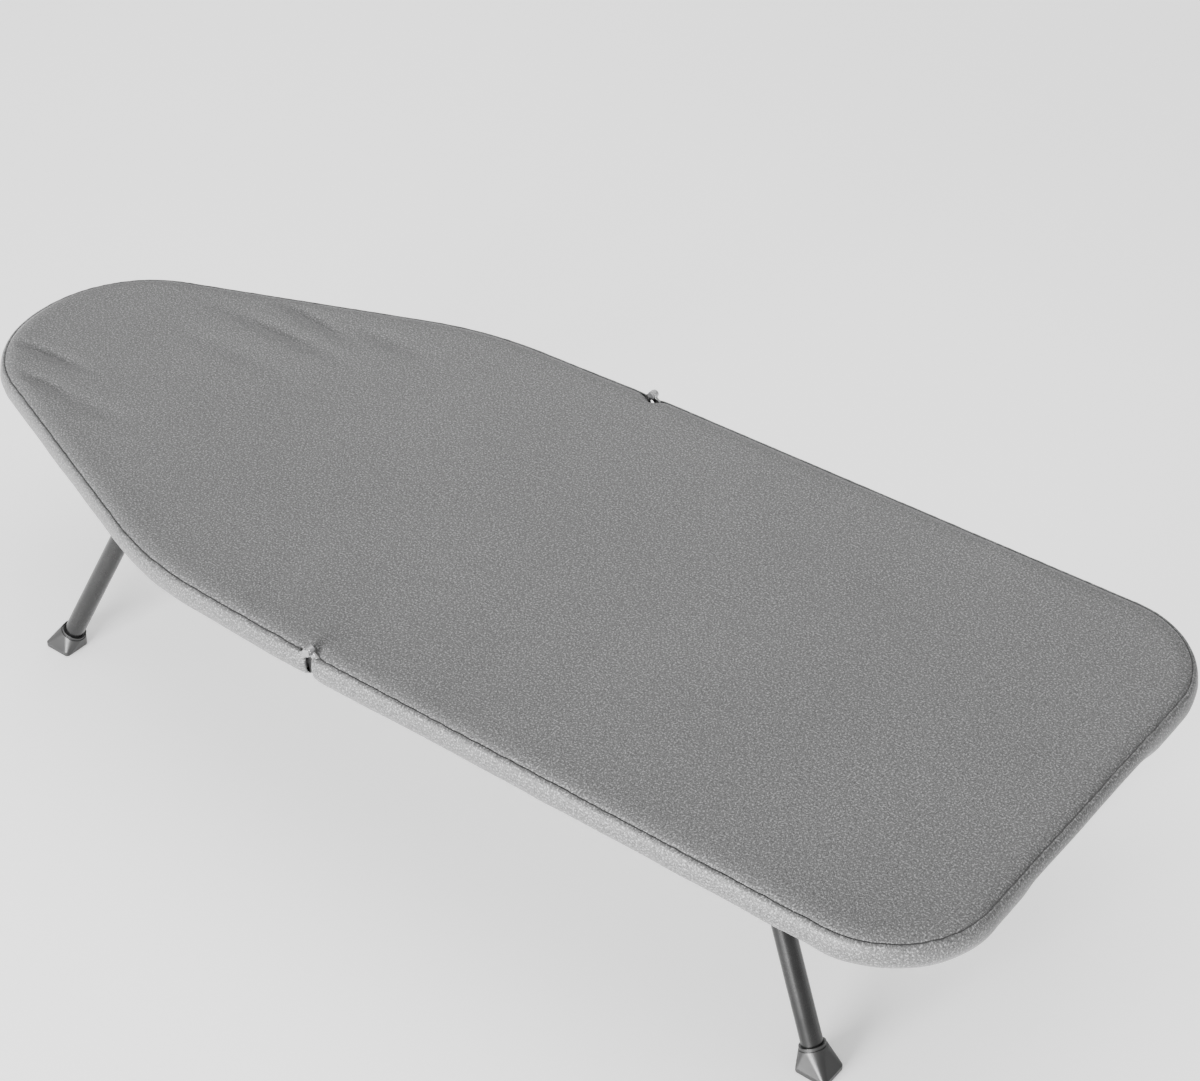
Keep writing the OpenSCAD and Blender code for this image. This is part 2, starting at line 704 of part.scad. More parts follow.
// Hinge of the hook: the plate fixed under the tail end
module hook_fixed_plate() {
    y0 = hook_mid_y - hook_leaf_w / 2;
    y1 = y0 + hook_leaf_w;
    web_x = hook_axis_x + hook_knuckle_r;
    color("#b8b8bc") on_half("tail") difference() {
        union() {
            span([web_x - hook_leaf_t, y0, z_frame - hook_leaf_t], [hook_foot_end, y1, z_frame]);
            for (y = [y0, y1 - hook_knuckle_w]) {
                translate([hook_axis_x, y, hook_axis_z]) rotate([-90, 0, 0])
                    cylinder(r = hook_knuckle_r, h = hook_knuckle_w);
                span([web_x - hook_leaf_t, y, hook_axis_z], [web_x, y + hook_knuckle_w, z_frame]);
            }
        }
        translate([hook_axis_x, y0 - cut, hook_axis_z]) rotate([-90, 0, 0])
            cylinder(r = hook_pin_r, h = hook_leaf_w + 2 * cut);
    }
}

module hook_hinge_pin() {
    color("#b8b8bc") on_half("tail") translate([hook_axis_x, hook_mid_y - hook_leaf_w / 2 - 0.5, hook_axis_z])
        rotate([-90, 0, 0]) cylinder(r = hook_pin_r, h = hook_leaf_w + 1);
}

// Hinge of the hook: the plate that swings out, with a flange for the hook's shank
module hook_plate() {
    y0 = hook_mid_y - hook_leaf_w / 2;
    knuckle_low = y0 + hook_knuckle_w + side_gap;
    knuckle_len = hook_leaf_w - 2 * hook_knuckle_w - 2 * side_gap;
    near_x = hook_axis_x - hook_knuckle_r - 1;
    far_x = hook_axis_x - hook_leaf_len;
    color("#b8b8bc") on_half("tail") difference() {
        union() {
            span([far_x, y0, hook_axis_z - hook_leaf_t / 2], [near_x, y0 + hook_leaf_w, hook_axis_z + hook_leaf_t / 2]);
            span([near_x, knuckle_low, hook_axis_z - hook_leaf_t / 2],
                 [hook_axis_x, knuckle_low + knuckle_len, hook_axis_z + hook_leaf_t / 2]);
            span([far_x, y0, hook_axis_z - hook_flange_h], [far_x + hook_leaf_t, y0 + hook_leaf_w, hook_axis_z]);
            translate([hook_axis_x, knuckle_low, hook_axis_z]) rotate([-90, 0, 0])
                cylinder(r = hook_knuckle_r, h = knuckle_len);
        }
        translate([hook_axis_x, y0, hook_axis_z]) rotate([-90, 0, 0])
            cylinder(r = hook_pin_r + run_fit, h = hook_leaf_w);
        translate([far_x - cut, hook_shank_y, hook_wire_z]) rotate([0, 90, 0])
            cylinder(r = hook_r + run_fit, h = hook_leaf_t + 2 * cut);
    }
}

// Frame at the head of the hook's shank, with +X along the shank
module at_hook() {
    on_half("tail") translate([hook_head_x, hook_shank_y, hook_wire_z]) rotate([0, 0, 180]) children();
}

module hook_wire() {
    color("#d0d0d4") at_hook() {
        bent_rod(hook_r, hook_path);
        at_end(hook_path) rotate([0, 90, 0]) cylinder(r = hook_r, h = hook_end);
    }
}

// Peened head that keeps the shank in its flange
module hook_head() {
    color("#d0d0d4") at_hook() translate([-hook_head_t, 0, 0]) rotate([0, 90, 0])
        cylinder(r = hook_head_r, h = hook_head_t);
}

// Plastic sleeve on the point of the hook
module hook_tip() {
    color("#18181a") at_hook() at_end(hook_path) rotate([0, 90, 0]) difference() {
        translate([0, 0, hook_end - hook_tip_len + 2]) cylinder(r = hook_tip_r, h = hook_tip_len);
        translate([0, 0, -hook_tip_len]) cylinder(r = hook_r, h = hook_tip_len + hook_end);
    }
}

tail_rim();
tail_fold_bar();
tail_mesh();
tail_rail_left();
tail_rail_right();
tail_leg_bracket();
tail_bracket_rivets();
tail_sleeve_left();
tail_sleeve_right();
tail_hinge_plates();
fold_hinge_pins();
tail_pad();
tail_cover();
tail_cover_hem();
nose_rim();
nose_fold_bar();
nose_mesh();
nose_rail_left();
nose_rail_right();
nose_leg_bracket();
nose_bracket_rivets();
nose_sleeve_left();
nose_sleeve_right();
nose_hinge_plates();
nose_pad();
nose_cover();
nose_cover_hem();
tail_leg_tube();
tail_foot_left();
tail_foot_right();
nose_leg_tube();
nose_foot_left();
nose_foot_right();
lock_rod();
rod_clip();
rod_clip_rivet();
loop_clip();
loop_clip_rivet();
elastic_loop();
rail_label();
hook_fixed_plate();
hook_hinge_pin();
hook_plate();
hook_wire();
hook_head();
hook_tip();
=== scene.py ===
import json
import math

import bpy
import numpy as np
from mathutils import Matrix, Vector, noise


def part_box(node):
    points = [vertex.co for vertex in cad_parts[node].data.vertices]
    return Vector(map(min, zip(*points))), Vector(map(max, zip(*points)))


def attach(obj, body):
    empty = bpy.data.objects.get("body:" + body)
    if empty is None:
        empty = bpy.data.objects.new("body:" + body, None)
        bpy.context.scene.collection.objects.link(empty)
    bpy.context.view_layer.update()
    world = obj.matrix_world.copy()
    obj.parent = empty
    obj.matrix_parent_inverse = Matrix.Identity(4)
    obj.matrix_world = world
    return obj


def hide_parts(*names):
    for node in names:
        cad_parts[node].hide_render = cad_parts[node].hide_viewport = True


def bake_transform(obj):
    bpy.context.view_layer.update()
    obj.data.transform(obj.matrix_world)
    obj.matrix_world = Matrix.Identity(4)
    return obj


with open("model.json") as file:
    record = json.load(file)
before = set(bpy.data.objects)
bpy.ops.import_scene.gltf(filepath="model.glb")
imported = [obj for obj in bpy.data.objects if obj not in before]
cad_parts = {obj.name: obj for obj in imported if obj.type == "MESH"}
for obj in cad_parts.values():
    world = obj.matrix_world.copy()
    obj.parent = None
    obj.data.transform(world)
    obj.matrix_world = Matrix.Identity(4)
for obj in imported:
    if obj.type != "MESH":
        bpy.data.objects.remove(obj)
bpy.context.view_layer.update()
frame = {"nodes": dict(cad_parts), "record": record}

# ---- sizes taken from the frame, in metres ------------------------------------

JOINTS = {j["name"]: j for j in frame["record"]["behaviour"]["joints"]}
FOLD_X = JOINTS["fold"]["pos_m"][0]
COVER_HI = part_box("tail_cover")[1]
NOSE_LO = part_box("nose_cover")[0]
Z_TOP = COVER_HI.z
Z_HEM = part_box("tail_cover_hem")[0].z
HALF_W = COVER_HI.y
TAIL_LEN = COVER_HI.x - FOLD_X
NOSE_LEN = FOLD_X - NOSE_LO.x

# The frame holds no corner radii, so these nine repeat the values in part.scad.
TAIL_R = 0.060        # rounded tail corners
SHOULDER_X = 0.135    # where the nose half starts to narrow
SHOULDER_IN = 0.004   # how far in the board's side is there
SHOULDER_R = 0.250
NOSE_W = 0.114        # width of the blunt nose
NOSE_R = 0.080
HEM_SIDE = 0.016      # how far the hem reaches under the long edges
HEM_END = 0.0055      # and under the tail and nose ends
HEM_R = 0.105

# The rest is chosen here.
CLOTH_T = 0.0006      # thickness of the cloth
SLIT = 0.0026         # half the gap in the side band at the fold
ROLL_DEEP = 0.0013    # how far the top panel has rolled down at the seam
ROLL_WIDE = 0.009     # how far in from the seam the roll starts
BAND_UNDER = 0.0012   # where the side band ends, in from the edge, and the hem starts
HEM_SEARCH = 0.05     # how far in the hem's free edge is looked for


# ---- camera -------------------------------------------------------------------

def make_camera(azimuth, elevation, roll, target, height, lens):
    """Angles in degrees, and height above the target."""
    a, e, r = (math.radians(v) for v in (azimuth, elevation, roll))
    back = Vector((math.sin(a) * math.cos(e), -math.cos(a) * math.cos(e), math.sin(e)))
    right = (-back).cross(Vector((0, 0, 1))).normalized()
    up = right.cross(-back)
    x = right * math.cos(r) + up * math.sin(r)
    y = up * math.cos(r) - right * math.sin(r)
    data = bpy.data.cameras.new("camera")
    data.sensor_width = 36
    data.sensor_fit = "HORIZONTAL"
    data.lens = lens
    data.clip_start = 0.05
    cam = bpy.data.objects.new("camera", data)
    bpy.context.scene.collection.objects.link(cam)
    place = Vector(target) + back * (height / math.sin(e))
    cam.matrix_world = Matrix.Translation(place) @ Matrix((x, y, back)).transposed().to_4x4()
    bpy.context.scene.camera = cam
    return cam


make_camera(azimuth=38.46, elevation=37.45, roll=-0.75, target=(FOLD_X + 0.0668, 0.0193, Z_TOP),
            height=0.9202, lens=76.92)


# ---- materials ------------------------------------------------------------------

class Nodes:
    """Small helper that builds one procedural material."""

    def __init__(self, name):
        self.mat = bpy.data.materials.new(name)
        self.mat.use_nodes = True
        self.tree = self.mat.node_tree
        self.bsdf = self.tree.nodes["Principled BSDF"]

    def add(self, kind, **values):
        node = self.tree.nodes.new("ShaderNode" + kind)
        for key, value in values.items():
            if hasattr(node, key):
                setattr(node, key, value)
            else:
                node.inputs[key.replace("_", " ")].default_value = value
        return node

    def link(self, a, b):
        self.tree.links.new(a, b)

    def place(self, attribute=None, scale=(1, 1, 1)):
        source = self.add("Attribute", attribute_name=attribute) if attribute else self.add("TexCoord")
        mapping = self.add("Mapping")
        mapping.inputs["Scale"].default_value = scale
        self.link(source.outputs["Vector" if attribute else "Object"], mapping.inputs["Vector"])
        return mapping.outputs["Vector"]

    def noise(self, where, scale, detail=2.0, rough=0.5):
        node = self.add("TexNoise", Scale=scale, Detail=detail, Roughness=rough)
        self.link(where, node.inputs["Vector"])
        return node.outputs["Fac"]

    def ramp(self, value, *stops):
        node = self.add("ValToRGB")
        items = node.color_ramp.elements
        while len(items) < len(stops):
            items.new(0.5)
        for item, (at, colour) in zip(items, stops):
            item.position = at
            item.color = (*colour, 1) if hasattr(colour, "__len__") else (colour, colour, colour, 1)
        self.link(value, node.inputs["Fac"])
        return node.outputs["Color"]

    def mix(self, factor, a, b, mode="MIX"):
        node = self.add("Mix", data_type="RGBA", blend_type=mode)
        for socket, value in ((node.inputs[0], factor), (node.inputs[6], a), (node.inputs[7], b)):
            if isinstance(value, bpy.types.NodeSocket):
                self.link(value, socket)
            elif hasattr(value, "__len__"):
                socket.default_value = (*value, 1)
            else:
                socket.default_value = value if socket.type == "VALUE" else (value, value, value, 1)
        return node.outputs[2]

    def maths(self, operation, a, b=0.0, c=0.0):
        node = self.add("Math", operation=operation)
        for socket, value in zip(node.inputs, (a, b, c)):
            if isinstance(value, bpy.types.NodeSocket):
                self.link(value, socket)
            else:
                socket.default_value = value
        return node.outputs[0]

    def span(self, value, low, high, to_low, to_high):
        node = self.add("MapRange")
        for key, number in zip(("From Min", "From Max", "To Min", "To Max"), (low, high, to_low, to_high)):
            node.inputs[key].default_value = number
        self.link(value, node.inputs["Value"])
        return node.outputs["Result"]

    def bump(self, height, distance, strength=1.0, normal=None):
        node = self.add("Bump", Strength=strength, Distance=distance)
        self.link(height, node.inputs["Height"])
        if normal is not None:
            self.link(normal, node.inputs["Normal"])
        return node.outputs["Normal"]

    def bevel(self, radius):
        node = self.add("Bevel", samples=4)
        node.inputs["Radius"].default_value = radius
        return node.outputs["Normal"]

    def finish(self, colour, roughness, normal=None, **constants):
        self.link(colour, self.bsdf.inputs["Base Color"])
        self.link(roughness, self.bsdf.inputs["Roughness"])
        if normal is not None:
            self.link(normal, self.bsdf.inputs["Normal"])
        for key, value in constants.items():
            self.bsdf.inputs[key.replace("_", " ")].default_value = value
        return self.mat


def weave_height(n, where, pitch):
    """Plain weave: warp and weft threads that cross."""
    axes = n.add("SeparateXYZ")
    n.link(where, axes.inputs[0])
    k = math.pi / pitch
    a = n.maths("SINE", n.maths("MULTIPLY", axes.outputs["X"], k))
    b = n.maths("SINE", n.maths("MULTIPLY", axes.outputs["Y"], k))
    c = n.maths("MULTIPLY", a, b)
    a2 = n.maths("ABSOLUTE", a)
    b2 = n.maths("ABSOLUTE", b)
    return n.maths("ADD", n.maths("MULTIPLY", c, 0.5), n.maths("MULTIPLY", n.maths("MULTIPLY", a2, b2), 0.5))


def heathered(name, tone, fleck=1.0):
    """Grey woven cloth of light and dark yarns, slightly metallic; tone is the middle grey."""
    n = Nodes(name)
    where = n.place("cloth")
    along = n.place("cloth", (0.4, 1.0, 1.0))
    across = n.place("cloth", (1.0, 0.4, 1.0))
    warp = n.noise(along, 2300, 1.5)
    weft = n.noise(across, 2300, 1.5)
    yarn = n.mix(0.5, warp, weft)
    base = n.ramp(yarn, (0.36, [tone * 0.45] * 3), (0.50, [tone] * 3), (0.64, [tone * 1.8] * 3))
    light = n.ramp(n.noise(where, 920, 1.0, 0.4), (0.54, 0.0), (0.65, 1.0))
    pale = [tone * 4.0, tone * 4.0, tone * 4.05]
    base = n.mix(n.maths("MULTIPLY", light, 0.75 * fleck), base, pale)
    dark = n.ramp(n.noise(where, 800, 1.0, 0.4), (0.33, 1.0), (0.46, 0.0))
    base = n.mix(n.maths("MULTIPLY", dark, 0.75 * fleck), base, [tone * 0.25] * 3)
    cloud = n.span(n.noise(where, 9, 3.0), 0.3, 0.7, 0.94, 1.06)
    base = n.mix(1.0, base, cloud, "MULTIPLY")
    rough = n.span(n.noise(where, 420, 2.0), 0.3, 0.7, 0.50, 0.66)
    fuzz = n.maths("MULTIPLY", n.noise(where, 700, 2.0), 0.9)
    height = n.maths("ADD", weave_height(n, where, 0.0007), fuzz)
    return n.finish(base, rough, n.bump(height, 0.00012, 0.55),
                    Metallic=0.12, Sheen_Weight=0.18, Sheen_Roughness=0.5)


def felted(name):
    """White needled felt: fine fibres over a soft fleece."""
    n = Nodes(name)
    where = n.place("cloth")
    stretched = n.place("cloth", (1.0, 0.25, 1.0))
    fibres = n.noise(stretched, 900, 3.0, 0.65)
    fleece = n.noise(where, 260, 3.0, 0.6)
    colour = n.ramp(n.mix(0.5, fibres, fleece), (0.30, (0.60, 0.60, 0.585)), (0.52, (0.80, 0.80, 0.785)),
                    (0.70, (0.90, 0.90, 0.89)))
    rough = n.span(fleece, 0.3, 0.7, 0.86, 0.98)
    return n.finish(colour, rough, n.bump(n.maths("ADD", fibres, fleece), 0.0006, 0.8), Sheen_Weight=0.25)


def painted(name, tone, low, high, peel, edge=0.0004):
    """Black paint on steel: faint orange peel, dull and shiny patches, softened edges."""
    n = Nodes(name)
    where = n.place()
    smudge = n.noise(where, 38, 4.0, 0.6)
    fine = n.noise(where, peel, 2.0)
    dust = n.ramp(n.noise(where, 1300, 2.0), (0.66, 0.0), (0.74, 1.0))
    paint = n.ramp(smudge, (0.3, [tone * 0.8] * 3), (0.7, [tone * 1.3] * 3))
    colour = n.mix(n.maths("MULTIPLY", dust, 0.12), paint, [tone * 4] * 3)
    rough = n.span(smudge, 0.3, 0.7, low, high)
    return n.finish(colour, rough, n.bump(fine, 0.00006, 0.45, n.bevel(edge)), Specular_IOR_Level=0.4)


def plated(name, tone, low, high, spangle):
    """Zinc or chrome plate with cloudy spangle and fine rub marks."""
    n = Nodes(name)
    where = n.place()
    cell = n.add("TexVoronoi", Scale=spangle)
    n.link(where, cell.inputs["Vector"])
    cloud = n.noise(where, 120, 3.0)
    rub = n.noise(n.place(None, (1, 12, 12)), 300, 2.0)
    colour = n.ramp(n.mix(0.4, cloud, cell.outputs["Color"]), (0.2, [tone * 0.82, tone * 0.82, tone * 0.84]),
                    (0.8, [min(1, tone * 1.1)] * 3))
    rough = n.span(n.mix(0.5, cloud, rub), 0.3, 0.7, low, high)
    return n.finish(colour, rough, n.bump(rub, 0.00003, 0.35, n.bevel(0.0002)), Metallic=1.0)


def moulded(name, tone, low, high, grain):
    """Plastic with a fine moulded grain."""
    n = Nodes(name)
    where = n.place()
    fine = n.noise(where, grain, 2.0)
    wide = n.noise(where, 70, 3.0)
    colour = n.ramp(wide, (0.3, [tone * 0.85] * 3), (0.7, [tone * 1.25] * 3))
    rough = n.span(wide, 0.3, 0.7, low, high)
    return n.finish(colour, rough, n.bump(fine, 0.0001, 0.4, n.bevel(0.0006)))


def braided(name):
    """Dark elastic cord with a crossed plait."""
    n = Nodes(name)
    axes = n.add("SeparateXYZ")
    n.link(n.place(), axes.inputs[0])
    turn = n.maths("MULTIPLY", n.maths("ADD", axes.outputs["X"], axes.outputs["Y"]), 4200)
    back = n.maths("MULTIPLY", n.maths("SUBTRACT", axes.outputs["X"], axes.outputs["Y"]), 4200)
    plait = n.maths("MULTIPLY", n.maths("SINE", turn), n.maths("SINE", back))
    colour = n.ramp(n.span(plait, -1, 1, 0, 1), (0.1, (0.03, 0.03, 0.032)), (0.8, (0.10, 0.10, 0.104)))
    rough = n.span(n.noise(n.place(), 900, 2.0), 0.3, 0.7, 0.7, 0.9)
    return n.finish(colour, rough, n.bump(plait, 0.0002, 0.7), Sheen_Weight=0.3)


def papered(name):
    """Blank white paper."""
    n = Nodes(name)
    where = n.place()
    pulp = n.noise(where, 900, 3.0)
    colour = n.ramp(pulp, (0.3, (0.78, 0.78, 0.765)), (0.7, (0.87, 0.87, 0.86)))
    rough = n.span(n.noise(where, 200, 2.0), 0.3, 0.7, 0.45, 0.6)
    return n.finish(colour, rough, n.bump(pulp, 0.00005, 0.4))


def floored(name):
    """Near-white floor that gives off a little light of its own."""
    n = Nodes(name)
    where = n.place()
    wide = n.noise(where, 1.7, 2.0)
    colour = n.ramp(wide, (0.3, (0.88, 0.88, 0.88)), (0.7, (0.90, 0.90, 0.90)))
    rough = n.span(n.noise(where, 60, 3.0), 0.3, 0.7, 0.75, 0.9)
    return n.finish(colour, rough, n.bump(n.noise(where, 400, 2.0), 0.0002, 0.15),
                    Emission_Color=(1, 1, 1, 1), Emission_Strength=0.35)


COVER_CLOTH = heathered("cover_cloth", 0.055)
SEAM_THREAD = heathered("seam_thread", 0.010, 0.3)
FELT = felted("needled_felt")
FINISHES = {
    "frame_paint": painted("frame_black", 0.016, 0.24, 0.40, 900),
    "mesh_paint": painted("mesh_black", 0.018, 0.32, 0.50, 1100, 0.0002),
    "bracket_paint": painted("bracket_black", 0.013, 0.28, 0.45, 900),
    "leg_paint": painted("leg_black", 0.004, 0.20, 0.32, 1000),
    "foot_plastic": moulded("foot_plastic", 0.008, 0.36, 0.50, 1400),
    "rivet_zinc": plated("rivet_zinc", 0.74, 0.18, 0.32, 700),
    "hinge_zinc": plated("hinge_zinc", 0.36, 0.26, 0.42, 500),
    "rod_steel": plated("bright_steel", 0.80, 0.09, 0.20, 900),
    "hook_plastic": moulded("tip_plastic", 0.022, 0.38, 0.52, 1600),
    "elastic": braided("braided_elastic"),
    "label": papered("blank_label"),
}

SLOT_OF = {s["node"]: s["material_slot"] for s in frame["record"]["subparts"]}
for node, obj in frame["nodes"].items():
    finish = FINISHES.get(SLOT_OF[node], COVER_CLOTH)
    obj.data.materials.clear()
    obj.data.materials.append(finish)


# ---- outlines ---------------------------------------------------------------------

def corners(half):
    """Sharp corners of a half, from the fold at x = 0 outwards, with the nose half turned to +x."""
    w, s, n = HALF_W, HALF_W - SHOULDER_IN, NOSE_W / 2
    if half == "tail":
        return np.array([(0, -w), (TAIL_LEN, -w), (TAIL_LEN, w), (0, w)])
    return np.array([(0, -w), (SHOULDER_X, -s), (NOSE_LEN, -n), (NOSE_LEN, n), (SHOULDER_X, s), (0, w)])


def corner_radii(half):
    return [0, TAIL_R, TAIL_R, 0] if half == "tail" else [0, SHOULDER_R, NOSE_R, NOSE_R, SHOULDER_R, 0]


def moved(v, d):
    """Corners after each side i has moved inward by d[i]."""
    n = len(v)
    along = [(v[(i + 1) % n] - v[i]) / np.linalg.norm(v[(i + 1) % n] - v[i]) for i in range(n)]
    inward = [np.array((-u[1], u[0])) for u in along]
    out = []
    for i in range(n):
        p, q = v[i] + d[i - 1] * inward[i - 1], v[i] + d[i] * inward[i]
        a, b = along[i - 1], along[i]
        t = ((q - p)[0] * b[1] - (q - p)[1] * b[0]) / (a[0] * b[1] - a[1] * b[0])
        out.append(p + a * t)
    return np.array(out)


def rounded(v, radii, step=math.radians(2)):
    """The corners replaced by arcs of these radii, made smaller where a side is too short."""
    out = []
    n = len(v)
    for i, r in enumerate(radii):
        if r <= 0:
            out.append(v[i])
            continue
        a, b = v[i] - v[i - 1], v[(i + 1) % n] - v[i]
        short = min(np.linalg.norm(a), np.linalg.norm(b))
        u, w = a / np.linalg.norm(a), b / np.linalg.norm(b)
        turn = math.atan2(u[0] * w[1] - u[1] * w[0], u @ w)
        fit = min(r, short / 2 * 0.999 / math.tan(turn / 2))
        centre = v[i] - u * fit * math.tan(turn / 2) + fit * np.array((-u[1], u[0]))
        arm = -fit * np.array((-u[1], u[0]))
        count = max(2, math.ceil(turn / step))
        for k in range(count + 1):
            t = turn * k / count
            out.append(centre + (arm[0] * math.cos(t) - arm[1] * math.sin(t),
                                 arm[0] * math.sin(t) + arm[1] * math.cos(t)))
    return np.array(out)


def outline(half, inset=0.0):
    v = corners(half)
    d = [inset] * (len(v) - 1) + [0.0]
    return rounded(moved(v, d), [max(r - inset, 0) for r in corner_radii(half)])


def hem_line(half):
    """The hem's free edge under the board."""
    v = corners(half)
    mid = len(v) // 2 - 1
    d = [HEM_END if i == mid else HEM_SIDE for i in range(len(v) - 1)] + [0.0]
    radii = [0, HEM_R, HEM_R, 0] if half == "tail" else [max(r - HEM_SIDE, 0) for r in corner_radii(half)]
    return rounded(moved(v, d), radii)


def run_along(line):
    """Distance along an open line at each of its points."""
    return np.r_[0, np.cumsum(np.linalg.norm(np.diff(line, axis=0), axis=1))]


def at_runs(line, runs, at):
    """Points of the line at these distances along it."""
    return np.c_[[np.interp(at, runs, line[:, c]) for c in range(line.shape[1])]].T


def resampled(line, count):
    """count + 1 points evenly spaced along an open line."""
    runs = run_along(line)
    return at_runs(line, runs, np.linspace(0, runs[-1], count + 1))


def smooth(t):
    t = np.clip(t, 0, 1)
    return t * t * (3 - 2 * t)


def wobble(points, scale, seed):
    """Smooth noise from -1 to 1 at each point, the same on every run."""
    return np.array([noise.noise((p[0] * scale + seed, p[1] * scale - seed, seed * 0.37)) for p in points])


def wobble_along(runs, scale, second, third):
    """The same in one direction, at each distance along a line."""
    return np.array([noise.noise((v * scale, second, third)) for v in runs])


# ---- mesh building ------------------------------------------------------------------

def new_piece(name, verts, faces, material, attribute=None, smooth_shade=True):
    mesh = bpy.data.meshes.new(name)
    mesh.from_pydata([tuple(v) for v in verts], [], [tuple(f) for f in faces])
    mesh.validate()
    if attribute is not None:
        layer = mesh.attributes.new("cloth", "FLOAT_VECTOR", "POINT")
        layer.data.foreach_set("vector", np.asarray(attribute, np.float32).ravel())
    if smooth_shade:
        mesh.polygons.foreach_set("use_smooth", [True] * len(mesh.polygons))
    mesh.materials.append(material)
    obj = bpy.data.objects.new(name, mesh)
    bpy.context.scene.collection.objects.link(obj)
    return obj


def grid_faces(rows, cols, start=0, flip=False, wrap=False):
    """Quads between the points of a grid numbered row by row from start; wrap joins last column to first."""
    faces = []
    last = cols if wrap else cols - 1
    for i in range(rows - 1):
        for j in range(last):
            k = (j + 1) % cols
            this, following = start + i * cols, start + (i + 1) * cols
            quad = (this + j, this + k, following + k, following + j)
            faces.append(quad[::-1] if flip else quad)
    return faces


def thickened(verts, faces, attribute, depth):
    """A closed sheet: the faces, a copy of them moved inward by depth, and a rim along each free edge."""
    verts = np.asarray(verts, float)
    mesh = bpy.data.meshes.new("scratch")
    mesh.from_pydata([tuple(v) for v in verts], [], [tuple(f) for f in faces])
    mesh.update()
    normals = np.zeros(len(verts) * 3)
    mesh.vertex_normals.foreach_get("vector", normals)
    normals = normals.reshape(-1, 3)
    bpy.data.meshes.remove(mesh)
    n = len(verts)
    edges = {}
    for f in faces:
        for a, b in zip(f, (*f[1:], f[0])):
            edges[(a, b)] = edges.get((a, b), 0) + 1
    rim = [(b, a, a + n, b + n) for (a, b) in edges if (b, a) not in edges]
    inner = [tuple(i + n for i in f[::-1]) for f in faces]
    return (np.r_[verts, verts - normals * depth], list(faces) + inner + rim, np.r_[attribute, attribute])


# ---- cover ------------------------------------------------------------------------------

def board_side():
    """The near sides of the nose and tail outlines, each from the fold outwards."""
    tail = outline("tail")
    nose = outline("nose") * (-1, 1)
    near_tail = tail[tail[:, 1] < 0]
    near_nose = nose[nose[:, 1] < 0]
    return near_nose, near_tail


def cut_at_turn(line, share):
    """Splits an outline at the point where it has made this share of its quarter turn."""
    step = np.diff(line, axis=0)
    angle = np.abs(np.unwrap(np.arctan2(step[:, 1], step[:, 0])))
    angle = np.abs(angle - angle[0])
    k = int(np.argmax(angle >= share))
    return line[:k + 1], line[k:]


def cover_grid():
    """Flat points of the top panel, nose to tail by rows and near side to far side by columns."""
    near_nose, near_tail = board_side()
    side_tail, end_tail = cut_at_turn(near_tail, math.radians(45))
    side_nose, end_nose = cut_at_turn(near_nose, math.radians(48))
    near_fold = np.array([0.0005, 0.001, 0.0015, 0.002, SLIT, 0.0034, 0.0046, 0.0062, 0.008, 0.010])

    side_count = 118

    def stations(side):
        runs = run_along(side)
        return at_runs(side, runs, np.r_[near_fold, np.linspace(0.0125, runs[-1], side_count)])

    tail_pts = stations(side_tail)
    nose_pts = stations(side_nose)
    near = np.r_[nose_pts[::-1], [(0, -HALF_W)], tail_pts]
    far = near * (1, -1)

    def whole_end(end, tip_x):
        """An end from its near corner to its far one, with a point in the middle."""
        line = resampled(np.r_[end, [(tip_x, 0)]], 46)
        return np.r_[line, (line[:-1] * (1, -1))[::-1]]

    tail_end = whole_end(end_tail, TAIL_LEN)
    nose_end = whole_end(end_nose, -NOSE_LEN)
    rows, cols = len(near), len(tail_end)
    v = np.linspace(0, 1, cols)[None, :, None]
    tail_v = (tail_end[:, 1] - tail_end[0, 1]) / (tail_end[-1, 1] - tail_end[0, 1])
    nose_v = (nose_end[:, 1] - nose_end[0, 1]) / (nose_end[-1, 1] - nose_end[0, 1])
    reach = 0.16    # over which the columns change from the end's spacing to even spacing
    from_tail = smooth(1 - (near[-1, 0] - near[:, 0]) / reach)[:, None, None]
    from_nose = smooth(1 - (near[:, 0] - near[0, 0]) / reach)[:, None, None]
    share = v + from_tail * (tail_v[None, :, None] - v) + from_nose * (nose_v[None, :, None] - v)
    flat = (1 - share) * near[:, None, :] + share * far[:, None, :]
    bulge_t = np.c_[tail_end[:, 0] - tail_end[0, 0], np.zeros(cols)]
    bulge_n = np.c_[nose_end[:, 0] - nose_end[0, 0], np.zeros(cols)]
    flat = flat + from_tail * bulge_t[None] + from_nose * bulge_n[None]
    return flat


def folds(x, y):
    """Wrinkles of the stretched cloth, as depths below the ironing surface."""
    depth = np.zeros_like(x)
    for cx, cy, angle, length, width, deep in (
            (-0.345, -0.040, 4, 0.040, 0.0060, 0.0017),
            (-0.320, -0.065, 2, 0.030, 0.0060, 0.0014),
            (-0.275, -0.065, 4, 0.035, 0.0090, 0.0007),
            (-0.235, 0.095, -6, 0.045, 0.0065, 0.0017),
            (-0.240, 0.070, 0, 0.060, 0.0075, 0.0016),
            (-0.175, 0.105, 4, 0.040, 0.0090, 0.0012),
            (-0.250, 0.035, 2, 0.060, 0.0120, 0.0006),
            (0.150, 0.120, 70, 0.060, 0.014, 0.0007),
            (0.235, 0.105, 58, 0.070, 0.015, 0.0008),
            (-0.060, -0.115, 104, 0.060, 0.016, 0.0006),
            (0.090, -0.120, 84, 0.060, 0.016, 0.0007)):
        a = math.radians(angle)
        u = (x - cx) * math.cos(a) + (y - cy) * math.sin(a)
        w = -(x - cx) * math.sin(a) + (y - cy) * math.cos(a)
        depth += deep * np.exp(-(u / length) ** 2 * 2) * np.exp(-(w / width) ** 2 * 2)
    return depth


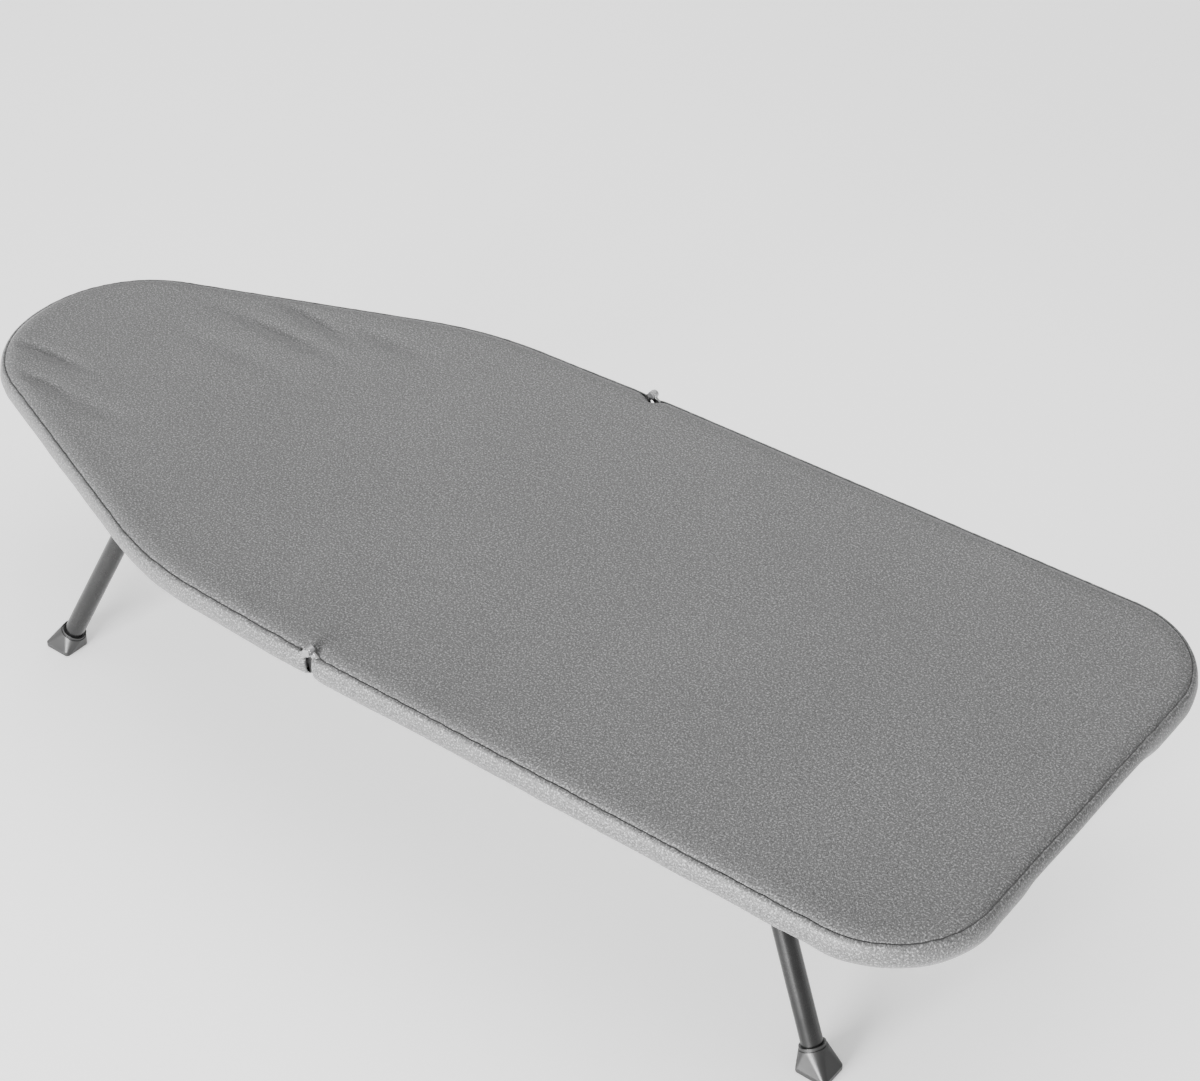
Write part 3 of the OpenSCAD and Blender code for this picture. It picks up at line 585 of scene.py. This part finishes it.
def make_cover():
    """One sheet: top panel, side bands and hems. Also gives the seam's line, outward side and runs."""
    flat = cover_grid()
    rows, cols = flat.shape[:2]
    x, y = flat[..., 0], flat[..., 1]
    ring = [(i, 0) for i in range(rows)] + [(rows - 1, j) for j in range(1, cols)]
    ring += [(i, cols - 1) for i in range(rows - 2, -1, -1)] + [(0, j) for j in range(cols - 2, 0, -1)]
    edge = np.array([flat[i, j] for i, j in ring])
    count = len(edge)
    t = np.roll(edge, -1, 0) - np.roll(edge, 1, 0)
    t /= np.linalg.norm(t, axis=1)[:, None]
    out = np.c_[t[:, 1], -t[:, 0]]
    run = run_along(edge)

    def cross(a, b):
        return a[0] * b[1] - a[1] * b[0]

    lines = {h: hem_line(h) * ((1, 1) if h == "tail" else (-1, 1)) for h in ("tail", "nose")}
    hem = np.zeros(count)
    for k in range(count):
        line = lines["tail" if edge[k][0] >= 0 else "nose"]
        best = HEM_SEARCH
        for a, b in zip(line[:-1], line[1:]):
            d = b - a
            w = cross(-out[k], d)
            if abs(w) < 1e-12:
                continue
            s = cross(a - edge[k], d) / w
            r = cross(a - edge[k], -out[k]) / w
            if 0 < s < best and -1e-6 <= r <= 1 + 1e-6:
                best = s
        hem[k] = best if best < HEM_SEARCH else HEM_SIDE
    kernel = np.ones(7) / 7
    hem = np.convolve(np.r_[hem[-3:], hem, hem[:3]], kernel, "valid")

    # top panel: flat, rolled over at the seam, drawn in round the hinge eyes
    points = flat.reshape(-1, 2)
    dist = np.full(rows * cols, 1.0)
    for k in range(count):
        a, b = edge[k], edge[(k + 1) % count]
        d = b - a
        f = np.clip(((points - a) @ d) / max(d @ d, 1e-12), 0, 1)
        dist = np.minimum(dist, np.linalg.norm(points - a - f[:, None] * d, axis=1))
    roll = np.clip(1 - dist / ROLL_WIDE, 0, 1)
    sink = ROLL_DEEP * roll ** 2.2
    sink += folds(points[:, 0], points[:, 1]) * smooth(dist / 0.012)
    sink += 0.00030 * (0.5 + 0.5 * wobble(points, 13, 3.1)) * smooth(dist / 0.03)
    sink += 0.00012 * (0.5 + 0.5 * wobble(points, 45, 8.4))
    flow = wobble(points, 70, 5.5)
    sink += 0.00022 * (0.5 + 0.5 * flow) * np.clip(1 - dist / 0.03, 0, 1) ** 2
    fold_near = np.exp(-(points[:, 0] / 0.006) ** 2)
    sink += 0.0022 * fold_near * np.clip(1 - dist / 0.006, 0, 1)
    pulled = points.copy()
    pulled[:, 1] -= np.sign(points[:, 1]) * 0.0028 * fold_near * np.clip(1 - dist / 0.012, 0, 1)
    top = np.c_[pulled[:, 0] + FOLD_X, pulled[:, 1], Z_TOP - sink]
    cloth = [np.c_[points, np.zeros(len(points))]]
    faces = grid_faces(rows, cols, flip=True)
    verts = [top]

    # side band and hem: one strip for each half, open at the fold. The band's profile is out and down
    # from the top panel's edge, and the hem's steps are shares of its width.
    profile = [(0.00045, 0.0026), (0.0012, 0.0021), (0.0021, 0.0026), (0.0029, 0.0040), (0.0036, 0.0062),
               (0.0040, 0.0086), (0.0039, 0.0112), (0.0034, 0.0136), (0.0024, 0.0158), (0.0009, 0.0175),
               (-BAND_UNDER, 0.0184)]
    hem_steps = [0.12, 0.26, 0.42, 0.60, 0.80, 1.0]
    index = {ij: ij[0] * cols + ij[1] for ij in ring}
    at = len(top)
    corner = np.clip(1 - np.abs(edge[:, 0] - (TAIL_LEN - 0.03)) / 0.075, 0, 1)
    corner = corner * smooth((np.abs(edge[:, 1]) - 0.03) / 0.05)
    nose_bend = np.clip(1 - np.abs(edge[:, 0] + NOSE_LEN - 0.02) / 0.09, 0, 1)
    gather = 0.30 + 1.0 * np.maximum(corner, 0.8 * nose_bend)
    for half in (1, -1):
        keep = [k for k in range(count) if edge[k][0] * half > SLIT - 1e-5]
        gap = next(i for i in range(len(keep)) if keep[i] - keep[i - 1] != 1 and i > 0) if half == -1 else 0
        keep = keep[gap:] + keep[:gap]
        pts, normal, s, h, g = edge[keep], out[keep], run[keep], hem[keep], gather[keep]
        inset = np.abs(pts[:, 0])
        shut = smooth((inset - SLIT) / 0.007)
        curl = 1 - smooth((inset - SLIT) / 0.0016)
        pucker = wobble_along(s, 210, 1.7 * half, 0.3)
        fine = wobble_along(s, 480, 4.7 * half, 2.3)
        slow = wobble_along(s, 28, 9.1 * half, 1.3)
        pleat = wobble_along(s, 120, 2.2 * half, 5.9)
        droop = 0.0022 * np.clip(wobble_along(s, 40, 6.4 * half, 7.7) + 0.1, 0, 1)
        # the hook swings past the middle of the tail end, so the hem lies close and doesn't droop there
        at_hook = (pts[:, 0] > TAIL_LEN - 0.02) * (1 - smooth((np.abs(pts[:, 1]) - 0.045) / 0.03))
        droop = droop * (1 - at_hook)
        top_row = [index[ring[k]] for k in keep]
        strip, paint = [], []
        base = top[top_row]
        travel = np.zeros(len(keep))
        last_o, last_z = 0.0, ROLL_DEEP
        for row, (o, z) in enumerate(profile):
            swell = math.sin(math.pi * min(1, max(0, (z - 0.0016) / 0.0168)))
            grow = o * (0.84 + 0.16 * shut) + 0.00045 * slow * swell + 0.00030 * pleat * g * swell
            if row <= 2:
                grow = grow + 0.00035 * pucker * (1 + 0.5 * fine)
            grow = grow - 0.0016 * curl
            sag = droop * shut * (row / (len(profile) - 1)) ** 2
            tucked = at_hook * min(1, max(0, (z - 0.009) / 0.006))
            grow = grow * (1 - tucked)
            deep = z + (0.0004 * pucker + 0.00015 * fine if row in (1, 2) else 0)
            fade = 1 - min(1, row / 4)
            place = pts + normal * grow[:, None]
            zed = (Z_TOP - deep) * (1 - fade) + (base[:, 2] - (deep - ROLL_DEEP)) * fade - sag
            zed = zed + 0.0012 * tucked * min(1, max(0, (z - 0.015) / 0.002))
            travel = travel + math.hypot(o - last_o, z - last_z)
            last_o, last_z = o, z
            strip.append(np.c_[place[:, 0] + FOLD_X, place[:, 1], zed])
            paint.append(np.c_[pts + normal * travel[:, None], np.zeros(len(keep))])
        for f in hem_steps:
            inward = BAND_UNDER + (h - BAND_UNDER) * f
            ruffle = 0.00055 * np.sin(pleat * 9 + s * 520) * g * math.sin(math.pi * min(1, 0.25 + 0.75 * f))
            edge_wave = 0.0011 * pleat * g * f
            place = pts - normal * (inward + edge_wave * (1 - at_hook))[:, None]
            loose = -0.0003 - 0.0002 * f + np.minimum(ruffle, 0.00035) - droop * shut * (1 - f) ** 2
            zed = Z_HEM + loose * (1 - at_hook) + 0.0001 * at_hook
            travel = travel + (h - BAND_UNDER) / len(hem_steps)
            strip.append(np.c_[place[:, 0] + FOLD_X, place[:, 1], zed])
            paint.append(np.c_[pts + normal * travel[:, None], np.zeros(len(keep))])
        wide = len(keep)
        verts += strip
        cloth += paint
        first = [(top_row[j], at + j, at + j + 1, top_row[j + 1]) for j in range(wide - 1)]
        faces += first + grid_faces(len(strip), wide, at)
        at += len(strip) * wide
    verts, cloth = np.vstack(verts), np.vstack(cloth)
    verts, faces, cloth = thickened(verts, faces, cloth, CLOTH_T)
    return new_piece("cover", verts, faces, COVER_CLOTH, cloth), edge, out, run


cover, edge, out, run = make_cover()
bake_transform(cover)
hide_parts("tail_cover", "nose_cover", "tail_cover_hem", "nose_cover_hem")


# ---- seam thread -------------------------------------------------------------------------

def make_seam(half, name):
    """Stitches in the groove between the top panel and the side band."""
    outset, drop, pitch = 0.0006, 0.0021, 0.0032
    thin, swell = 0.00034, 0.00018
    keep = [k for k in range(len(edge)) if edge[k][0] * half > 0.006]
    gap = next((i for i in range(1, len(keep)) if keep[i] - keep[i - 1] != 1), 0)
    keep = keep[gap:] + keep[:gap]
    line = np.c_[edge[keep] + out[keep] * outset, np.full(len(keep), Z_TOP - drop)]
    runs = run_along(line)
    at = np.arange(0, runs[-1], pitch / 4)
    path = at_runs(line, runs, at)
    sides = 6
    tangent = np.gradient(path, axis=0)
    tangent /= np.linalg.norm(tangent, axis=1)[:, None]
    right = np.cross(tangent, (0, 0, 1))
    right /= np.linalg.norm(right, axis=1)[:, None]
    up = np.cross(right, tangent)
    size = thin + swell * np.abs(np.sin(at * math.pi / pitch)) ** 0.6
    verts = []
    for c in range(len(path)):
        for k in range(sides):
            a = 2 * math.pi * k / sides
            verts.append(path[c] + size[c] * (right[c] * math.cos(a) + up[c] * math.sin(a) * 0.8))
    verts = np.array(verts)
    verts[:, 0] += FOLD_X
    faces = grid_faces(len(path), sides, wrap=True)
    faces += [tuple(range(sides))[::-1], tuple((len(path) - 1) * sides + k for k in range(sides))]
    obj = new_piece(name, verts, faces, SEAM_THREAD, verts)
    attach(obj, "tail_half" if half > 0 else "nose_half")
    return obj


make_seam(1, "tail_seam")
make_seam(-1, "nose_seam")


# ---- felt pads ------------------------------------------------------------------------------

def make_felt(half):
    """Needled felt that sags a little into the mesh openings below it."""
    mirror = 1 if half == "tail" else -1
    lo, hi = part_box(f"{half}_pad")
    line = outline(half, 0.0022)    # the felt ends just inside the cover's side band
    line = line[line[:, 0] > 1e-6]
    near = line[line[:, 1] < 0]
    step = 0.0035
    rows = int((hi.x - lo.x) / step) + 1
    cols = int(2 * HALF_W / step) + 1
    xs = np.linspace(0.0012, near[:, 0].max() - 0.0004, rows)
    order = np.argsort(near[:, 0])
    wide = np.interp(xs, near[order][:, 0], -near[order][:, 1])
    last = near[np.argmax(near[:, 0] > near[:, 0].max() - 1e-5)]
    wide[-1] = min(wide[-1], -last[1])
    wide = wide - np.exp(-(xs / 0.009) ** 4) * 0.0036    # narrower at the fold, beside the hinge
    v = np.linspace(-1, 1, cols)
    x = np.repeat(xs[:, None], cols, 1)
    y = wide[:, None] * v[None, :]
    dist = np.minimum((1 - np.abs(v))[None, :] * wide[:, None], np.minimum(x, near[:, 0].max() - x))
    soft = np.clip(1 - dist / 0.0025, 0, 1) ** 2
    mesh_x, mesh_y = 0.014, 0.023
    cell = np.cos(2 * math.pi * x / mesh_x) * np.cos(2 * math.pi * y / mesh_y)
    belly = 0.00045 * np.clip(cell, 0, 1) * np.clip(dist / 0.012, 0, 1)
    top = hi.z - 0.0009 - 0.0016 * soft - folds(x * mirror, y)
    bottom = lo.z + 0.0001 + 0.0014 * soft - belly
    verts = np.r_[np.c_[x.ravel(), y.ravel(), top.ravel()], np.c_[x.ravel(), y.ravel(), bottom.ravel()]]
    n = rows * cols
    faces = grid_faces(rows, cols) + grid_faces(rows, cols, n, flip=True)
    ring = list(range(cols)) + [i * cols + cols - 1 for i in range(1, rows)]
    ring += [(rows - 1) * cols + j for j in range(cols - 2, -1, -1)]
    ring += [i * cols for i in range(rows - 2, 0, -1)]
    faces += [(a, b, b + n, a + n) for a, b in zip(ring, ring[1:] + ring[:1])]
    cloth = verts.copy()
    verts[:, 0] = verts[:, 0] * mirror + FOLD_X
    if mirror < 0:
        faces = [f[::-1] for f in faces]
    obj = new_piece(f"{half}_felt", verts, [f[::-1] for f in faces], FELT, cloth)
    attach(obj, f"{half}_half")
    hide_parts(f"{half}_pad")
    return obj


make_felt("tail")
make_felt("nose")


# ---- closing loop ---------------------------------------------------------------------------

def make_loop():
    """Two runs of elastic cord from their clip to a loose loop under the tail end."""
    lo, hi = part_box("elastic_loop")
    r = (hi.z - lo.z) / 2
    z = (hi.z + lo.z) / 2
    spread = (hi.y - lo.y) / 2 - r
    mid = (hi.y + lo.y) / 2
    straight = hi.x - r - spread

    def along(f):
        return lo.x + 0.0004 + (straight - lo.x) * f

    points = [(along(k / 7), mid - spread, z) for k in range(8)]
    for k in range(1, 12):
        a = -math.pi / 2 + math.pi * k / 12
        points.append((straight + spread * math.cos(a), mid + spread * math.sin(a), z))
    points += [(along(1 - k / 7), mid + spread, z) for k in range(8)]
    curve = bpy.data.curves.new("closing_loop", "CURVE")
    curve.dimensions = "3D"
    curve.bevel_depth = r
    curve.bevel_resolution = 3
    curve.resolution_u = 4
    curve.use_fill_caps = True
    spline = curve.splines.new("NURBS")
    spline.points.add(len(points) - 1)
    for p, at in zip(spline.points, points):
        p.co = (*at, 1)
    spline.order_u = 4
    spline.use_endpoint_u = True
    curve.materials.append(FINISHES["elastic"])
    obj = bpy.data.objects.new("closing_loop", curve)
    bpy.context.scene.collection.objects.link(obj)
    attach(obj, "tail_half")
    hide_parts("elastic_loop")
    return obj


make_loop()


# ---- floor and light --------------------------------------------------------------------------

def make_floor():
    size, z = 6.0, -0.0005    # just below the feet, so that they don't share a plane
    verts = [(-size, -size, z), (size, -size, z), (size, size, z), (-size, size, z)]
    floor = new_piece("floor", verts, [(0, 1, 2, 3)], floored("pale_floor"))


def make_light(name, place, size, power, target=(0, 0, 0.12)):
    data = bpy.data.lights.new(name, "AREA")
    data.shape = "RECTANGLE"
    data.size, data.size_y = size
    data.energy = power
    obj = bpy.data.objects.new(name, data)
    obj.location = place
    obj.rotation_euler = (Vector(target) - Vector(place)).to_track_quat("-Z", "Y").to_euler()
    bpy.context.scene.collection.objects.link(obj)


make_floor()
make_light("key", (0.05, -2.8, 0.42), (1.6, 0.5), 420)
make_light("top", (0.2, 0.3, 2.6), (2.6, 2.6), 46)
make_light("back", (-1.2, 2.2, 1.3), (2.0, 1.0), 16)
world = bpy.data.worlds.new("studio")
bpy.context.scene.world = world
world.use_nodes = True
world.node_tree.nodes["Background"].inputs["Color"].default_value = (1, 1, 1, 1)
world.node_tree.nodes["Background"].inputs["Strength"].default_value = 0.95
